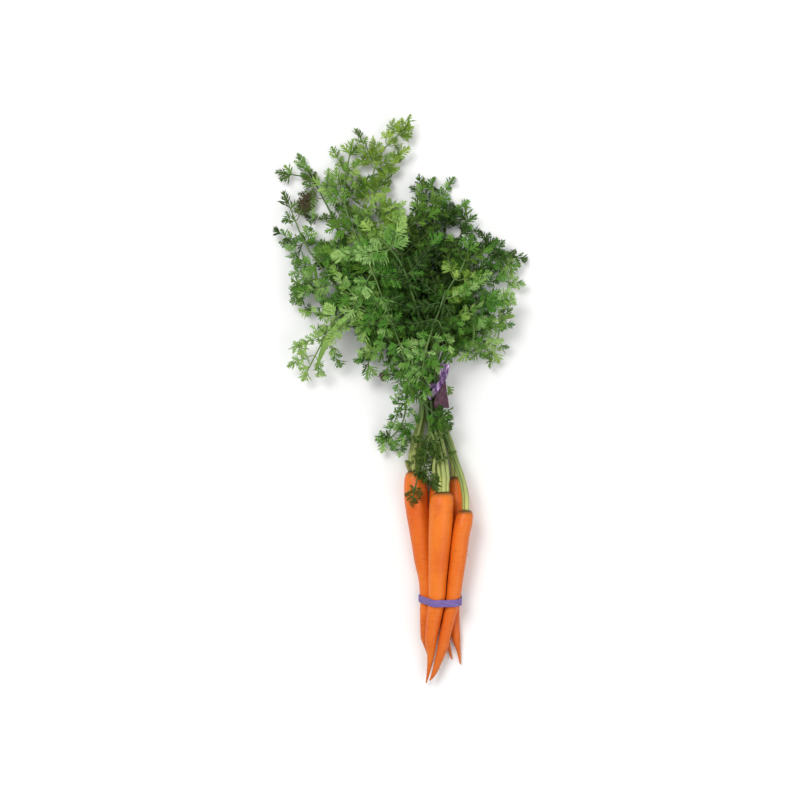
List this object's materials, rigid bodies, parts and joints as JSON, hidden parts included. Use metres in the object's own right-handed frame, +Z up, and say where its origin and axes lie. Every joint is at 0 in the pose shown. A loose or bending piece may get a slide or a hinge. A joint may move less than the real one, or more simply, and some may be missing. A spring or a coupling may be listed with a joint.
{
  "type": "bunch of carrots",
  "caption": "Bunch of carrots with leafy tops lying flat, roots held by a rubber band and stalks by a twist tie, for a table or shelf display.",
  "frame": {"origin": "centre of the bunch's bounding box in plan, on the plane that it lies on", "axes": "+Y from the root tips towards the leaf tips, +Z up from the surface that the bunch lies on, +X to the right seen from above"},
  "size_m": [0.2323, 0.5174, 0.069],
  "materials": {
    "carrot_root": "satin",
    "rubber_band": "satin",
    "twist_tie": "gloss",
    "leaf_bright": "satin",
    "leaf_light": "satin",
    "leaf_yellow": "satin",
    "leaf_dark": "satin",
    "leaf_dull": "matte"
  },
  "bodies": {
    "root": {"root_left": "carrot_root", "root_middle_back": "carrot_root", "root_right_back": "carrot_root", "root_front": "carrot_root", "root_right_front": "carrot_root", "rubber_band": "rubber_band", "twist_tie": "twist_tie", "frond_fold_centre": "leaf_bright", "frond_fold_neck": "leaf_light", "frond_drape": "leaf_bright", "frond_collar": "leaf_bright", "frond_fern": "leaf_dark", "frond_yellow": "leaf_yellow", "frond_low_left": "leaf_bright", "frond_inner_left": "leaf_dark", "frond_inner_right": "leaf_dark", "frond_crown_mid": "leaf_yellow", "frond_mid_left": "leaf_light", "frond_mid_right": "leaf_bright", "frond_left": "leaf_dark", "frond_right": "leaf_bright", "frond_core": "leaf_dark", "frond_crest_left": "leaf_light", "frond_crest": "leaf_light", "frond_top_left": "leaf_dull", "frond_top_right": "leaf_dark", "frond_back_right": "leaf_dark"}
  },
  "joints": []
}
